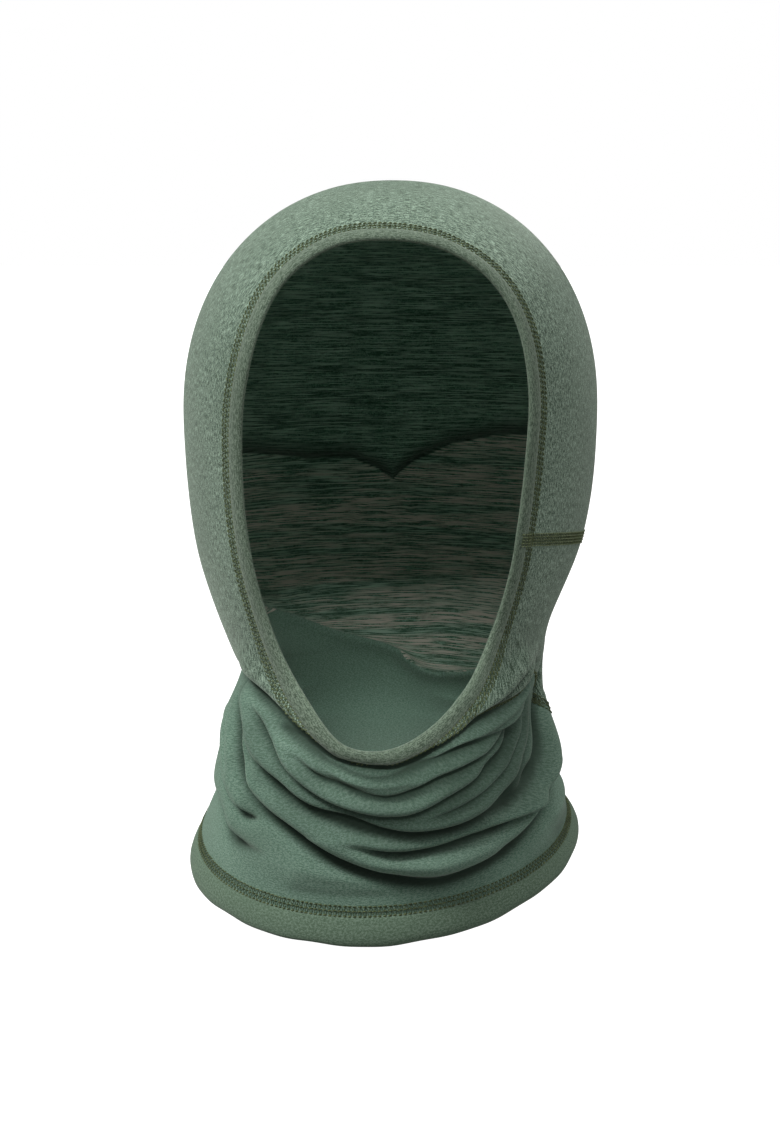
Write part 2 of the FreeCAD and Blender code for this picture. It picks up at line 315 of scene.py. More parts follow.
FOLD_TOP = 150.0              # folds lie below this run
ANGLE_STEP = math.radians(0.25)
FOLD_STEP = 0.4
PATH_STEP = 1.5               # between the points that a crease is measured from
CREASE_REACH = 3.2            # how many of its widths away a crease still counts
HEM_CLEAR, HEM_FADE, TOP_FADE = 4, 10, 8      # where the folds fade out, over the hem and on top
FOLD_ANGLES = np.arange(-math.pi, math.pi, ANGLE_STEP)
FOLD_RUNS = np.arange(FOLD_TOP, HEM_RUN + FOLD_STEP, FOLD_STEP)
ARC_RADIUS = 72.0             # turns an angle into a length on the neck


def unrolled(angle, run):
    """Where a point lies on the neck when that is rolled out flat: across and up."""
    return angle * ARC_RADIUS, base_point(angle, run)[..., 2]


def draw_crease(relief, across, up, line):
    """Press one crease into the relief and swell the fabric beside it."""
    knots = np.array([(*point, 1.0)[:3] for point in line["points"]])
    knots[:, 0] = np.unwrap(np.radians(knots[:, 0])) * ARC_RADIUS
    path = smooth_line(knots, PATH_STEP)
    if path[0, 0] > path[-1, 0]:
        path = path[::-1]
    path, share = path[:, :2], path[:, 2]
    reach = CREASE_REACH * line["wide"]
    tangent = np.gradient(path, axis=0)
    tangent /= np.linalg.norm(tangent, axis=1, keepdims=True)
    part = np.linspace(0, 1, len(path))
    strength = np.clip(part / line["ends"][0], 0, 1) * np.clip((1 - part) / line["ends"][1], 0, 1)
    strength = ease(strength) * share
    for shift in (-1, 0, 1):
        moved = across + shift * 2 * math.pi * ARC_RADIUS
        near = ((moved > path[:, 0].min() - reach) & (moved < path[:, 0].max() + reach)
                & (up > path[:, 1].min() - reach) & (up < path[:, 1].max() + reach))
        if not near.any():
            continue
        spots = np.stack([moved[near], up[near]], 1)
        which, best = nearest(spots, path)
        offset = spots - path[which]
        side = tangent[which, 0] * offset[:, 1] - tangent[which, 1] * offset[:, 0]
        along = np.maximum(np.sqrt(np.maximum(best - side ** 2, 0)) - PATH_STEP / 2, 0)
        distance = np.hypot(side, along)
        power = strength[which] * np.exp(-(along / (2 * line["tight"])) ** 2)
        sink = -line["depth"] * np.exp(-distance / np.where(side > 0, line["tight"], line["fall"]))
        swell = distance / line["wide"] * np.exp(1 - distance / line["wide"])
        rise = np.where(side > 0, line["lip"], line["foot"]) * swell
        relief[near] += power * (sink + rise)


def fold_relief():
    """How far the fabric stands out from the smooth surface, over all angles and runs."""
    angle, run = np.meshgrid(FOLD_ANGLES, FOLD_RUNS, indexing="ij")
    across, up = unrolled(angle, run)
    relief = np.zeros(angle.shape)
    for line in FOLDS:
        draw_crease(relief, across, up, line)
    relief *= (np.clip((HEM_RUN - run - HEM_BAND - HEM_CLEAR) / HEM_FADE, 0, 1)
               * np.clip((run - FOLD_TOP) / TOP_FADE, 0, 1))
    for _ in range(2):
        relief = (2 * relief + np.roll(relief, 1, 0) + np.roll(relief, -1, 0)) / 4
        inner = (2 * relief[:, 1:-1] + relief[:, 2:] + relief[:, :-2]) / 4
        relief = np.concatenate([relief[:, :1], inner, relief[:, -1:]], 1)
    return relief


RELIEF = fold_relief()
DIP_REACH = 5.0               # how wide a dip between folds can be
DIP_START, DIP_FULL = -0.2, 1.8   # how deep a dip is where its painted shade begins and where that is darkest
# Painted shadow where the folds crowd under the chin and beside the pinches: angle, z, reach and
# how much darker.
PAINTED_SHADOW_SPOTS = ((2, -246, 20, 0.6), (-24, -237, 17, 0.5), (28, -240, 21, 0.62), (50, -226, 21, 0.68),
           (68, -212, 18, 0.72), (-48, -216, 12, 0.4), (-68, -203, 10, 0.4))


def paint_fold_shade():
    """Painted shade from 0 to 1: how far each place lies sunk between its folds, plus the painted
    shadow spots.
    """
    wrap = 60                 # columns repeated on either side, where the angle starts again
    around = blur(np.concatenate([RELIEF[-wrap:], RELIEF, RELIEF[:wrap]]),
                  DIP_REACH / (ANGLE_STEP * ARC_RADIUS))[wrap:-wrap]
    around = blur(around.T, DIP_REACH / FOLD_STEP).T
    sunk = np.clip((around - RELIEF - DIP_START) / (DIP_FULL - DIP_START), 0, 1)
    across, up = unrolled(*np.meshgrid(FOLD_ANGLES, FOLD_RUNS, indexing="ij"))
    free = 1 - sunk
    for degrees, z, reach, share in PAINTED_SHADOW_SPOTS:
        distance = np.hypot(across - math.radians(degrees) * ARC_RADIUS, up - z)
        free *= 1 - share * np.exp(-(distance / reach) ** 2)
    return 1 - free


PAINTED_FOLD_SHADE = paint_fold_shade()


def read_table(table, angle, run):
    """The relief, or another table of the same size, between its samples."""
    column = (np.asarray(angle) + math.pi) / ANGLE_STEP % len(FOLD_ANGLES)
    row = np.clip((np.asarray(run) - FOLD_TOP) / FOLD_STEP, 0, len(FOLD_RUNS) - 1.001)
    left = column.astype(int) % len(FOLD_ANGLES)
    right = (left + 1) % len(FOLD_ANGLES)
    top = row.astype(int)
    part_x, part_y = column - column.astype(int), row - top
    upper = table[left, top] * (1 - part_x) + table[right, top] * part_x
    lower = table[left, top + 1] * (1 - part_x) + table[right, top + 1] * part_x
    return upper * (1 - part_y) + lower * part_y


SAG = 0.3                     # how much a fold leans down as it stands out
TUCK = 4.2                    # the hood's edge is tucked up under the chin
TUCK_ABOVE, TUCK_BELOW = 11.0, 13.0   # how far that reaches over and under its edge
TUCK_MIDDLE, TUCK_WIDTH = 2, 42       # and to either side, in degrees


def tucked(angle, run):
    """How much higher the cloth lies near the hood's edge under the chin."""
    degrees = np.degrees((angle + math.pi) % (2 * math.pi) - math.pi)
    line = np.array(CHIN_LINE, float)
    below = np.interp(degrees, line[:, 0], line[:, 1]) - base_point(angle, run)[..., 2]
    over = np.clip(1 + below / TUCK_ABOVE, 0, 1)
    near = np.where(below < 0, ease(over), np.exp(-(below / TUCK_BELOW) ** 2))
    return TUCK * near * np.exp(-((degrees - TUCK_MIDDLE) / TUCK_WIDTH) ** 4)


def cloth_point(angle, run):
    """A point of the folded fabric's outside."""
    angle, run = np.asarray(angle, float), np.asarray(run, float)
    out = normal_of(base_point, angle, run, 1e-3, 0.3)
    lean = out - SAG * np.array([0.0, 0.0, 1.0])
    point = base_point(angle, run) + read_table(RELIEF, angle, run)[..., None] * lean
    point[..., 2] += tucked(angle, run)
    return point


def cloth_normal(angle, run):
    return normal_of(cloth_point, angle, run, 0.007, 0.5)


# -------- cutting the surface into pieces
ON_LINE = 1e-4                # a corner this near to a cutting line counts as kept


class Sheet:
    """Faces drawn on the garment's surface, before they are given a place in space."""

    def __init__(self, columns, runs):
        angles = np.linspace(-math.pi, math.pi, columns, endpoint=False)
        angle, run = np.meshgrid(angles, runs, indexing="ij")
        self.angle, self.run = angle.ravel(), run.ravel()
        rows = len(runs)
        corner = np.arange(columns * rows).reshape(columns, rows)
        after = np.roll(corner, -1, axis=0)
        faces = np.stack([corner[:, :-1], corner[:, 1:], after[:, 1:], after[:, :-1]], -1)
        self.faces = [tuple(face) for face in faces.reshape(-1, 4)]

    def keep(self, field):
        """Cut away all that lies where the field is below zero."""
        value = field(self.angle, self.run)
        value = np.where(np.abs(value) < ON_LINE, ON_LINE, value)
        angles, runs, made, faces = list(self.angle), list(self.run), {}, []

        def crossing(first, second):
            key = (min(first, second), max(first, second))
            if key not in made:
                part = value[key[0]] / (value[key[0]] - value[key[1]])
                turn = angles[key[1]] - angles[key[0]]
                turn -= 2 * math.pi * round(turn / (2 * math.pi))
                angles.append(angles[key[0]] + part * turn)
                runs.append(runs[key[0]] + part * (runs[key[1]] - runs[key[0]]))
                made[key] = len(angles) - 1
            return made[key]

        inside = value > 0
        for face in self.faces:
            kept = [inside[corner] for corner in face]
            if all(kept):
                faces.append(face)
            elif any(kept):
                outline = []
                for here, there in zip(face, face[1:] + face[:1]):
                    if inside[here]:
                        outline.append(here)
                    if inside[here] != inside[there]:
                        outline.append(crossing(here, there))
                faces.append(tuple(outline))
        used = np.zeros(len(angles), bool)
        used[np.concatenate([np.asarray(face) for face in faces])] = True
        index = np.cumsum(used) - 1
        self.angle, self.run = np.asarray(angles)[used], np.asarray(runs)[used]
        self.faces = [tuple(index[list(face)]) for face in faces]


# The neck seam: angle in degrees and z.  In front it hides in the first crease under the chin.
NECK_SEAM = ((-180, -197), (-150, -189), (-127, -181), (-112, -187), (-96, -194), (-86, -197),
             *CHIN_LINE, (78, -200), (86, -209), (96, -213), (110, -209), (130, -203),
             (150, -206), (165, -206), (180, -197))


def neck_seam_z(angle):
    line = smooth_line(NECK_SEAM, 0.5)
    degrees = (np.degrees(angle) + 180) % 360 - 180
    return np.interp(degrees, line[:, 0], line[:, 1])


def run_at(angle, z):
    """The run at which the smooth surface has this height."""
    high, low = np.full(np.shape(angle), 5.0), np.full(np.shape(angle), HEM_RUN)
    for _ in range(30):
        middle = (high + low) / 2
        above = base_point(angle, middle)[..., 2] > z
        high, low = np.where(above, middle, high), np.where(above, low, middle)
    return (high + low) / 2


def above_neck_seam(angle, run):
    return base_point(angle, run)[..., 2] - neck_seam_z(angle)


def behind_back_seam(angle, run):
    return base_point(angle, run)[..., 1] - BACK_SEAM_Y


RIM_LINE = smooth_line(RIM, 1.0, closed=True)
FRONT_Y = -15.0               # the face opening lies in front of this
FAR_OUTSIDE = 200.0           # what lies behind it is simply far outside the rim


def outside_rim(angle, run):
    """How far a point lies outside the face opening, as seen from the front."""
    point = base_point(angle, run)
    distance = np.full(point.shape[:-1], FAR_OUTSIDE)
    front = point[..., 1] < FRONT_Y
    spots = point[front][:, [0, 2]]
    which, best = nearest(spots, RIM_LINE)
    tangent = np.roll(RIM_LINE, -1, 0) - np.roll(RIM_LINE, 1, 0)
    offset = spots - RIM_LINE[which]
    side = offset[:, 0] * tangent[which, 1] - offset[:, 1] * tangent[which, 0]
    distance[front] = np.sqrt(best) * np.sign(-side)
    return distance


COLUMNS = 440
SHEET_RUNS = np.concatenate([np.arange(0.02, 165, 2.2), np.arange(165, 205, 1.2),
                             np.arange(205, HEM_RUN, 0.62), [HEM_RUN]])
BINDING_GRIP = 3.0            # the fabric reaches no nearer to the rim, it ends inside the binding
HEM_GRIP = 3.0


def add_object(name, data):
    made = bpy.data.objects.new(name, data)
    bpy.context.scene.collection.objects.link(made)
    return made


def lay_uv(mesh, uv, wrap):
    """One pair for each vertex; a face across the line where u starts again keeps its size."""
    corner = np.empty(len(mesh.loops), np.int32)
    mesh.loops.foreach_get("vertex_index", corner)
    sizes = np.empty(len(mesh.polygons), np.int32)
    mesh.polygons.foreach_get("loop_total", sizes)
    owner = np.repeat(np.arange(len(sizes)), sizes)
    pairs = uv[corner]
    if wrap:
        highest = np.full(len(sizes), -1e9)
        np.maximum.at(highest, owner, pairs[:, 0])
        pairs[:, 0] += wrap * (highest[owner] - pairs[:, 0] > wrap / 2)
    mesh.uv_layers.new(name="cloth").data.foreach_set("uv", pairs.astype(np.float32).ravel())


def new_object(name, vertices, faces, materials, face_materials=None, uv=None, uv_wrap=0.0):
    """A mesh object from millimetres; uv is in metres."""
    mesh = bpy.data.meshes.new(name)
    mesh.from_pydata((np.asarray(vertices) * MM).tolist(), [], faces)
    mesh.validate()
    for material in materials:
        mesh.materials.append(material)
    if face_materials is not None:
        mesh.polygons.foreach_set("material_index", np.asarray(face_materials, np.int32))
    if uv is not None:
        lay_uv(mesh, np.asarray(uv, float), uv_wrap)
    mesh.polygons.foreach_set("use_smooth", np.ones(len(mesh.polygons), bool))
    mesh.update()
    return add_object(name, mesh)


def boundary_edges(faces):
    """The edges that only one face has, in that face's direction."""
    count = {}
    for face in faces:
        for here, there in zip(face, face[1:] + face[:1]):
            count[(here, there)] = count.get((here, there), 0) + 1
    return [edge for edge in count if (edge[1], edge[0]) not in count]


TUBE_RADIUS, STRIP_RADIUS = 78.0, 90.0
STRIP_MIDDLE_Z = -115.0       # the strip's turn round the face is counted about this height
CHEEK_CUT_X = 80.0


def tube_place(angle, run):
    """Where a point lies on a knitted tube laid out flat."""
    return np.stack([angle * TUBE_RADIUS, run], -1)


def strip_place(angle, run):
    """Where a point lies on a strip that wraps round the face and closes at the cheek seam."""
    point = base_point(angle, run)
    turn = np.arctan2(point[..., 0], point[..., 2] - STRIP_MIDDLE_Z)
    cut = math.atan2(CHEEK_CUT_X, CHEEK_SEAM_Z - STRIP_MIDDLE_Z)
    turn = (turn - cut) % (2 * math.pi)
    depth = np.arccos(np.clip((WIDEST["mid_y"] - point[..., 1]) / WIDEST["half_depth"], -1, 1))
    return np.stack([turn * STRIP_RADIUS, depth * WIDEST["half_depth"]], -1)


def back_place(angle, run):
    """The same tube, cut open in front."""
    return np.stack([(angle % (2 * math.pi) - math.pi) * TUBE_RADIUS, run], -1)


NAPE_SHADE = 12.0             # the nape's fold shades the fabric this far above it


def under_nape_fold(angle, run):
    """How far a place lies below the fold over the nape, in millimetres."""
    line = np.array(NAPE_FOLD, float)
    line[:, 0] %= 360
    line = line[np.argsort(line[:, 0])]
    degrees = np.degrees(angle) % 360
    return np.interp(degrees, line[:, 0], line[:, 1]) - base_point(angle, run)[..., 2]


def mark_points(made, name, values):
    layer = made.data.attributes.new(name, "FLOAT", "POINT")
    layer.data.foreach_set("value", np.asarray(values, np.float32))


def cloth_piece(name, sheet, outside, inside, place):
    """The sheet as fabric with two faces and a cut edge."""
    outer = cloth_point(sheet.angle, sheet.run)
    inner = outer - FABRIC * cloth_normal(sheet.angle, sheet.run)
    count = len(outer)
    faces = [tuple(reversed(face)) for face in sheet.faces]
    back = [tuple(corner + count for corner in reversed(face)) for face in faces]
    edge = [(b, a, a + count, b + count) for a, b in boundary_edges(faces)]
    radius = STRIP_RADIUS if place is strip_place else TUBE_RADIUS
    uv = np.tile(place(sheet.angle, sheet.run), (2, 1)) * MM
    made = new_object(name, np.vstack([outer, inner]), faces + back + edge, [outside, inside],
                      [0] * len(faces) + [1] * len(back) + [0] * len(edge), uv,
                      2 * math.pi * radius * MM)
    # Painted shade for the outside faces; the inside faces get none.
    painted_shade = read_table(PAINTED_FOLD_SHADE, sheet.angle, sheet.run)
    mark_points(made, "painted_shade", np.concatenate([painted_shade, 0 * painted_shade]))
    under = under_nape_fold(sheet.angle, sheet.run) / NAPE_SHADE
    mark_points(made, "under_fold", np.tile(np.clip(under, -1, 1), 2))
    return made


# -------- lines over the cloth
def cloth_axes(angle, run):
    """How the cloth runs per radian round and per millimetre down."""
    turn, step = 0.006, 0.4
    around = (cloth_point(angle + turn, run) - cloth_point(angle - turn, run)) / (2 * turn)
    down = (cloth_point(angle, run + step) - cloth_point(angle, run - step)) / (2 * step)
    return around, down


def along_line(points, closed):
    if closed:
        return unit(np.roll(points, -1, 0) - np.roll(points, 1, 0))
    return unit(np.gradient(points, axis=0))


def even_line(angle, run, step, closed=False):
    """The same line with its points at equal steps over the cloth."""
    if closed:
        angle, run = np.append(angle, angle[0]), np.append(run, run[0])
    angle = np.unwrap(angle)
    length = lengths_along(cloth_point(angle, run))
    places = np.linspace(0, length[-1], int(round(length[-1] / step)) + 1)
    if closed:
        places = places[:-1]
    return np.interp(places, length, angle), np.interp(places, length, run)


LONGEST_STEP = 1.2


def step_aside(angle, run, distance, closed):
    """The line moved sideways over the cloth; distance is a number, or one for each point."""
    steps = max(1, int(np.ceil(np.max(np.abs(distance)) / LONGEST_STEP)))
    for _ in range(steps):
        around, down = cloth_axes(angle, run)
        normal = unit(np.cross(down, around))
        side = unit(np.cross(normal, along_line(cloth_point(angle, run), closed)))
        side = side * np.reshape(np.asarray(distance) / steps, (-1, 1))
        aa, dd, ad = (np.sum(p * q, -1)
                      for p, q in ((around, around), (down, down), (around, down)))
        sa, sd = np.sum(side * around, -1), np.sum(side * down, -1)
        scale = np.maximum(aa * dd - ad * ad, 1e-9)
        angle, run = angle + (sa * dd - sd * ad) / scale, run + (sd * aa - sa * ad) / scale
    return angle, run


def sweep(name, rings, material, uv_width):
    """A skin over a closed row of rings; each ring is one closed cross-section."""
    count, around = rings.shape[:2]
    corner = np.arange(count * around).reshape(count, around)
    after = np.roll(corner, -1, 0)
    faces = np.stack([corner, np.roll(corner, -1, 1), np.roll(after, -1, 1), after], -1)
    across = np.linspace(0, uv_width, around)
    uv = np.stack([np.repeat(lengths_along(rings.mean(1)), around), np.tile(across, count)], 1) * MM
    return new_object(name, rings.reshape(-1, 3), [tuple(face) for face in faces.reshape(-1, 4)],
                      [material], uv=uv)


# -------- thread
def track_points(angle, run, lift):
    """The points of a line lifted off the cloth, and the cloth's normals there."""
    around, down = cloth_axes(angle, run)
    normal = unit(np.cross(down, around))
    return cloth_point(angle, run) + np.reshape(lift, (-1, 1)) * normal, normal


def lifted_track(angle, run, lift, closed):
    """The same with the points close together, and back at the first one if it is closed."""
    angle, run = even_line(angle, run, 0.3, closed)
    lift = np.atleast_1d(lift)
    lift = np.interp(np.linspace(0, 1, len(angle)), np.linspace(0, 1, len(lift)), lift)
    points, normal = track_points(angle, run, lift)
    if closed:
        points, normal = np.vstack([points, points[:1]]), np.vstack([normal, normal[:1]])
    return points, normal


def cross_section(side, up, corners):
    """From a thread's middle to the corners of its cross-section, one millimetre out."""
    turn = np.arange(corners) / corners * 2 * math.pi
    return np.cos(turn)[:, None] * side[..., None, :] + np.sin(turn)[:, None] * up[..., None, :]


# One stitch from end to end: how far along, how thick and how high the thread is there.
STITCH_PART = np.array([0.0, 0.12, 0.32, 0.5, 0.68, 0.88, 1.0])
STITCH_SWELL = np.array([0.25, 0.75, 1.0, 1.0, 1.0, 0.75, 0.25])
STITCH_RISE = np.array([-0.35, 0.0, 0.3, 0.38, 0.3, 0.0, -0.35])
STITCH_COVER = 0.84           # how much of the pitch a stitch fills
STITCH_CORNERS, CROSS_CORNERS = 6, 5


def stitches(angle, run, closed, pitch, thread, slant, lift, seed):
    """Single stitches along one line, each a small loop of thread that dives in at both ends."""
    points, normal = lifted_track(angle, run, lift, closed)
    length = lengths_along(points)
    count = int(length[-1] / pitch)
    pitch = length[-1] / count
    random = np.random.default_rng(seed)
    place = np.arange(count)[:, None] + (1 - STITCH_COVER) / 2 + STITCH_COVER * STITCH_PART
    place = place * pitch + random.normal(0, 0.04, (count, 1)) * pitch
    spot = read_along(place, length, points)
    up = unit(read_along(place, length, normal))
    side = unit(np.cross(up, unit(np.gradient(spot, axis=1))))
    lean = slant * (STITCH_PART - 0.5)[None, :, None] + random.normal(0, 0.05, (count, 1, 1))
    spot = spot + lean * side + (STITCH_RISE * thread * 1.3)[None, :, None] * up
    side = unit(np.cross(up, unit(np.gradient(spot, axis=1))))
    ring = cross_section(side, up, STITCH_CORNERS)
    vertices = spot[:, :, None, :] + ring * (STITCH_SWELL * thread / 2)[None, :, None, None]
    corner = np.arange(vertices.size // 3).reshape(vertices.shape[:3])
    after = np.roll(corner, -1, 2)
    faces = np.stack([corner[:, :-1], corner[:, 1:], after[:, 1:], after[:, :-1]], -1)
    caps = np.vstack([corner[:, 0], corner[:, -1, ::-1]])
    return vertices.reshape(-1, 3), [tuple(f) for f in (*faces.reshape(-1, 4), *caps)]


def zigzag(first, second, closed, pitch, thread, lift, shift):
    """One thread that goes to and fro between two lines."""
    (start, start_up), (end, end_up) = (
        lifted_track(*line, lift, closed) for line in (first, second))
    count = 2 * int(np.linalg.norm(np.diff(start, axis=0), axis=1).sum() / pitch)
    part = (np.arange(count * 3 + (0 if closed else 1)) / (count * 3))
    swing = ease(np.abs((part * count / 2 + shift) % 1 * 2 - 1))

    def read(values):
        return read_along(part, np.linspace(0, 1, len(values)), values)

    middle = read(start) * (1 - swing)[:, None] + read(end) * swing[:, None]
    up = unit(read(start_up) + read(end_up))
    middle = middle + (thread * 0.35 * np.sin(math.pi * swing))[:, None] * up
    side = unit(np.cross(up, along_line(middle, closed)))
    vertices = middle[:, None, :] + cross_section(side, up, CROSS_CORNERS) * thread / 2
    corner = np.arange(len(middle) * CROSS_CORNERS).reshape(-1, CROSS_CORNERS)
    here, after = (corner, np.roll(corner, -1, 0)) if closed else (corner[:-1], corner[1:])
    faces = np.stack([here, after, np.roll(after, -1, 1), np.roll(here, -1, 1)], -1)
    faces = [tuple(face) for face in faces.reshape(-1, 4)]
    if not closed:
        faces += [tuple(corner[0]), tuple(reversed(corner[-1]))]
    return vertices.reshape(-1, 3), faces


def join(parts):
    """Several meshes as one."""
    vertices, faces, start = [], [], 0
    for points, polygons in parts:
        vertices.append(points)
        faces += [tuple(corner + start for corner in face) for face in polygons]
        start += len(points)
    return np.vstack(vertices), faces


def beside(angle, run, closed, offsets):
    """Lines next to a line, one for each offset."""
    return [step_aside(angle, run, offset, closed) for offset in offsets]


CROSS_THREAD = 0.28           # the thread that crosses between rows
CROSS_BELOW = 0.05            # it lies this much nearer to the cloth than the stitches


def seam_band(name, rows, closed, materials, pitch=2.0, thread=0.50, slant=0.0, lift=0.1):
    """Rows of stitches side by side, with a thread that goes to and fro between each two rows."""
    parts, marks = [], []
    for index, row in enumerate(rows):
        made = stitches(*row, closed, pitch, thread, slant, lift, seed=index)
        parts.append(made)
        marks += [0] * len(made[1])
    for index, (first, second) in enumerate(zip(rows, rows[1:])):
        made = zigzag(first, second, closed, pitch, CROSS_THREAD, np.subtract(lift, CROSS_BELOW),
                      shift=0.25 * index)
        parts.append(made)
        marks += [1] * len(made[1])
    return new_object(name, *join(parts), materials, marks)


# -------- materials
class Nodes:
    """A small helper to write a material's nodes as expressions."""

    def __init__(self, name):
        self.material = bpy.data.materials.new(name)
        self.material.use_nodes = True
        self.tree = self.material.node_tree
        self.shader = self.tree.nodes["Principled BSDF"]
        self.object = self.add("ShaderNodeTexCoord").outputs["Object"]
        self.uv = self.add("ShaderNodeUVMap", uv_map="cloth").outputs["UV"]

    def add(self, kind, inputs=(), **settings):
        node = self.tree.nodes.new(kind)
        for key, value in settings.items():
            setattr(node, key, value)
        for key, value in dict(inputs).items():
            self.put(node.inputs[key], value)
        return node

    def put(self, socket, value):
        if isinstance(value, bpy.types.NodeSocket):
            self.tree.links.new(value, socket)
        else:
            socket.default_value = value

    def math(self, operation, first, second=0.0):
        return self.add("ShaderNodeMath", {0: first, 1: second}, operation=operation).outputs[0]

    def weigh(self, *pairs):
        """The sum of values, each with its own weight."""
        total = None
        for value, weight in pairs:
            term = self.math("MULTIPLY", value, weight)
            total = term if total is None else self.math("ADD", total, term)
        return total

    def marked(self, name):
        """A value that lies on the cloth."""
        return self.add("ShaderNodeAttribute", attribute_name=name).outputs["Fac"]

    def noise(self, vector, scale, detail=3.0, rough=0.6, stretch=None):
        if stretch:
            vector = self.add("ShaderNodeMapping", {0: vector, "Scale": stretch}).outputs[0]
        return self.add("ShaderNodeTexNoise", {"Vector": vector, "Scale": scale, "Detail": detail,
                                               "Roughness": rough}).outputs[0]

    def spread(self, value, low, high, to_low=0.0, to_high=1.0):
        """The value's range from low to high becomes to_low to to_high."""
        return self.add("ShaderNodeMapRange", {0: value, 1: low, 2: high, 3: to_low, 4: to_high},
                        interpolation_type="SMOOTHSTEP").outputs[0]

    def mix(self, part, first, second):
        node = self.add("ShaderNodeMix", data_type="RGBA")
        self.put(node.inputs["Factor"], part)
        for name, colour in (("A", first), ("B", second)):
            socket = [s for s in node.inputs if s.name == name and s.type == "RGBA"][0]
            self.put(socket, colour if isinstance(colour, bpy.types.NodeSocket) else (*colour, 1.0))
        return [s for s in node.outputs if s.type == "RGBA"][0]

    def bump(self, height, strength, distance):
        return self.add("ShaderNodeBump", {"Height": height, "Strength": strength,
                                           "Distance": distance}).outputs[0]

    def finish(self, colour, roughness, normal, sheen=0.0, sheen_tint=(1, 1, 1)):
        for socket, value in {"Base Color": colour, "Roughness": roughness, "Normal": normal,
                              "Sheen Weight": sheen, "Sheen Roughness": 0.55,
                              "Sheen Tint": (*sheen_tint, 1.0),
                              "Specular IOR Level": 0.2}.items():
            self.put(self.shader.inputs[socket], value)
        return self.material


WALE, COURSE = 0.00085, 0.00065          # the knit's stitch, in metres


def knit(nodes):
    """The height of plain knitting: columns of little Vs."""
    split = nodes.add("ShaderNodeSeparateXYZ", {0: nodes.uv})
    across = nodes.math("DIVIDE", split.outputs[0], WALE)
    inside = nodes.math("ABSOLUTE", nodes.math("SUBTRACT", nodes.math("FRACT", across), 0.5))
    column = nodes.math("SINE", nodes.math("MULTIPLY", inside, 2 * math.pi))
    rise = nodes.math("ADD", nodes.math("DIVIDE", split.outputs[1], COURSE), inside)
    loop = nodes.math("SINE", nodes.math("MULTIPLY", rise, 2 * math.pi))
    return nodes.weigh((column, 0.6), (loop, 0.35))


def jersey(name, deep, middle, pale, slub=0.25, grain=1.0, along=300, soft=1.0, streaks=None):
    """Heathered wool jersey: a mix of dyed fibres, thin thick-and-thin yarns along the courses."""
    nodes = Nodes(name)
    speck = nodes.noise(nodes.object, 1600 / grain, 1, 0.7)
    fibre = nodes.noise(nodes.uv, 1.0, 1, 0.6, stretch=(along, 1600 / grain, 1))
    cloud = nodes.noise(nodes.object, 26, 3)
    blend = nodes.weigh((speck, 0.45), (fibre, 0.55))
    colour = nodes.mix(nodes.spread(blend, 0.43, 0.49), deep, middle)
    colour = nodes.mix(nodes.spread(blend, 0.51, 0.57), colour, pale)
    colour = nodes.mix(nodes.spread(cloud, 0.35, 0.7, 0.0, 0.22), colour, deep)
    yarn = nodes.noise(nodes.uv, 1.0, 2, 0.5, stretch=(34, 1250, 1))
    colour = nodes.mix(nodes.spread(yarn, 0.60, 0.78, 0.0, slub), colour, pale)
    # Painted shade: the cloth is darkened by the value marked on its points, between the folds,
    # under the chin and at the binding's lower end.
    colour = nodes.mix(nodes.math("MULTIPLY", nodes.marked("painted_shade"), 0.95), colour,
                       [0.28 * part for part in deep])
    if streaks:
        colour = streaks(nodes, colour)
    height = nodes.weigh((knit(nodes), 0.5), (blend, 0.3), (yarn, 0.4))
    rough = nodes.spread(speck, 0.3, 0.7, 0.86, 0.98)
    return nodes.finish(colour, rough, nodes.bump(height, 0.5 * soft, 0.0002), sheen=0.4 * soft,
                        sheen_tint=(0.85, 0.95, 0.82))


def nape_slubs_and_painted_light(nodes, colour):
    """Inside the back of the hood the slubs are strong; painted shade lies just above the nape
    fold, and below it the slubs get a painted pale-brown light, as though lit through the thin
    fabric.
    """
    under = nodes.marked("under_fold")
    wide = nodes.noise(nodes.uv, 1.0, 3, 0.6, stretch=(9, 170, 1))
    fine = nodes.noise(nodes.uv, 1.0, 2, 0.6, stretch=(52, 1700, 1))
    zone = nodes.spread(under, 0.0, 0.08)
    thin = nodes.spread(fine, 0.47, 0.60)
    colour = nodes.mix(nodes.spread(wide, 0.35, 0.62, 0.5, 0.0), colour, (0.02, 0.06, 0.036))
    colour = nodes.mix(nodes.math("MULTIPLY", thin, 0.8), colour, (0.42, 0.60, 0.47))
    # Painted shadow of the nape fold on the fabric just above it.
    shade = nodes.math("SUBTRACT", nodes.spread(under, -1.0, 0.0, 0.0, 0.75), zone)
    colour = nodes.mix(nodes.math("MAXIMUM", shade, 0.0), colour, (0.006, 0.02, 0.012))
    # Below the fold the yarn's slub streaks are painted pale brown, a painted light standing in for
    # light shining through the fabric.
    part = nodes.math("MULTIPLY", nodes.spread(wide, 0.38, 0.58), nodes.spread(fine, 0.42, 0.56))
    return nodes.mix(nodes.math("MULTIPLY", part, zone), colour, (0.60, 0.55, 0.47))


def thread_material(name, dark, light):
    nodes = Nodes(name)
    twist = nodes.noise(nodes.object, 1700, 2)
    patch = nodes.noise(nodes.object, 240, 2)
    colour = nodes.mix(nodes.spread(twist, 0.38, 0.62), dark, light)
    colour = nodes.mix(nodes.spread(patch, 0.35, 0.7, 0.0, 0.5), colour, dark)
    return nodes.finish(colour, 0.7, nodes.bump(twist, 0.5, 0.0001), sheen=0.1)


